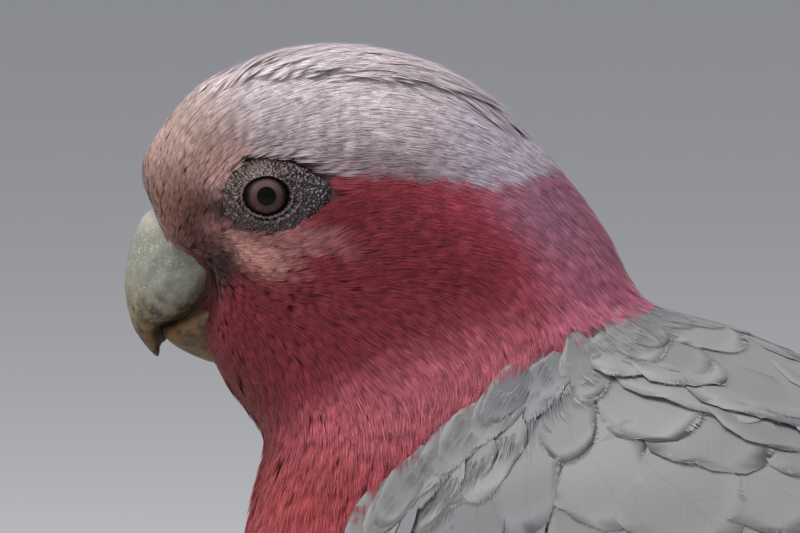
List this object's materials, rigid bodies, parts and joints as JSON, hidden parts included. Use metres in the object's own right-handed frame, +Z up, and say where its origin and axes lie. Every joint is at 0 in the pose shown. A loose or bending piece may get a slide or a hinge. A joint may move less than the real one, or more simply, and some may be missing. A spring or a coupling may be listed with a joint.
{
  "type": "galah",
  "caption": "Still, life-size galah standing on the ground, body level, head up and turned a little left.",
  "frame": {"origin": "on the ground, under the middle of the bird's bounding box", "axes": "+Z up; the tail points to +X, the breast to -X, and the bird's left side to -Y"},
  "size_m": [0.3296, 0.0918, 0.1921],
  "materials": {
    "pale_feathers": "matte",
    "rose_feathers": "matte",
    "grey_feathers": "matte",
    "bill_horn": "satin",
    "claw_horn": "satin",
    "bare_skin": "matte",
    "foot_skin": "matte",
    "eye": "gloss"
  },
  "bodies": {
    "root": {"head": "pale_feathers", "neck": "rose_feathers", "trunk": "rose_feathers", "crest": "pale_feathers", "bill_upper": "bill_horn", "bill_lower": "bill_horn", "tail": "grey_feathers", "eye_left": "eye", "eyelid_left": "bare_skin", "wing_left": "grey_feathers", "thigh_left": "rose_feathers", "shank_left": "foot_skin", "toe_inner_front_left": "foot_skin", "claw_inner_front_left": "claw_horn", "toe_outer_front_left": "foot_skin", "claw_outer_front_left": "claw_horn", "toe_outer_back_left": "foot_skin", "claw_outer_back_left": "claw_horn", "toe_inner_back_left": "foot_skin", "claw_inner_back_left": "claw_horn", "eye_right": "eye", "eyelid_right": "bare_skin", "wing_right": "grey_feathers", "thigh_right": "rose_feathers", "shank_right": "foot_skin", "toe_inner_front_right": "foot_skin", "claw_inner_front_right": "claw_horn", "toe_outer_front_right": "foot_skin", "claw_outer_front_right": "claw_horn", "toe_outer_back_right": "foot_skin", "claw_outer_back_right": "claw_horn", "toe_inner_back_right": "foot_skin", "claw_inner_back_right": "claw_horn"}
  },
  "joints": []
}
